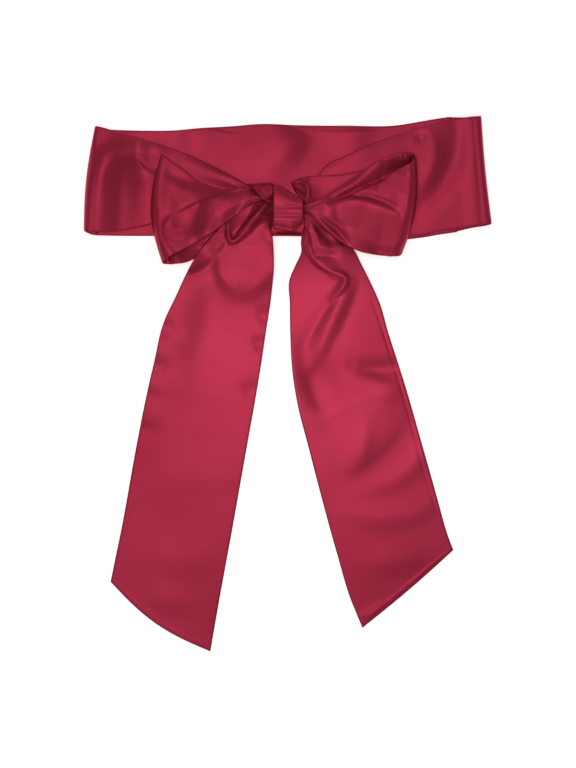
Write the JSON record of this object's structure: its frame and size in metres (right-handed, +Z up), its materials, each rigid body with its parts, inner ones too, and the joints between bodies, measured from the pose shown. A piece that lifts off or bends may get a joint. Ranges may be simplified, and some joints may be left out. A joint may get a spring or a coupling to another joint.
{
  "type": "satin sash",
  "caption": "Wide satin sash tied in a bow and laid flat, with its waist loop pressed flat, a gathered knot, two bow loops and two long slanted tails.",
  "frame": {"origin": "on the surface the sash lies on, under the middle of its outline", "axes": "+X to the right bow loop, +Y from the tails' ends to the waist loop, +Z up from the surface through the knot"},
  "size_m": [0.4081, 0.5352, 0.0258],
  "materials": {
    "crimson_satin": "smooth polyester satin with a soft sheen",
    "crimson_satin_inside": "the same satin inside the knot, in shade"
  },
  "bodies": {
    "root": {"waist_back": "crimson_satin", "waist_left": "crimson_satin", "waist_right": "crimson_satin", "loop_left_back": "crimson_satin", "loop_left_front": "crimson_satin", "loop_right_back": "crimson_satin", "loop_right_front": "crimson_satin", "tail_left": "crimson_satin", "tail_right": "crimson_satin", "knot_wrap": "crimson_satin", "knot_band": "crimson_satin", "knot_core": "crimson_satin_inside"}
  },
  "joints": []
}
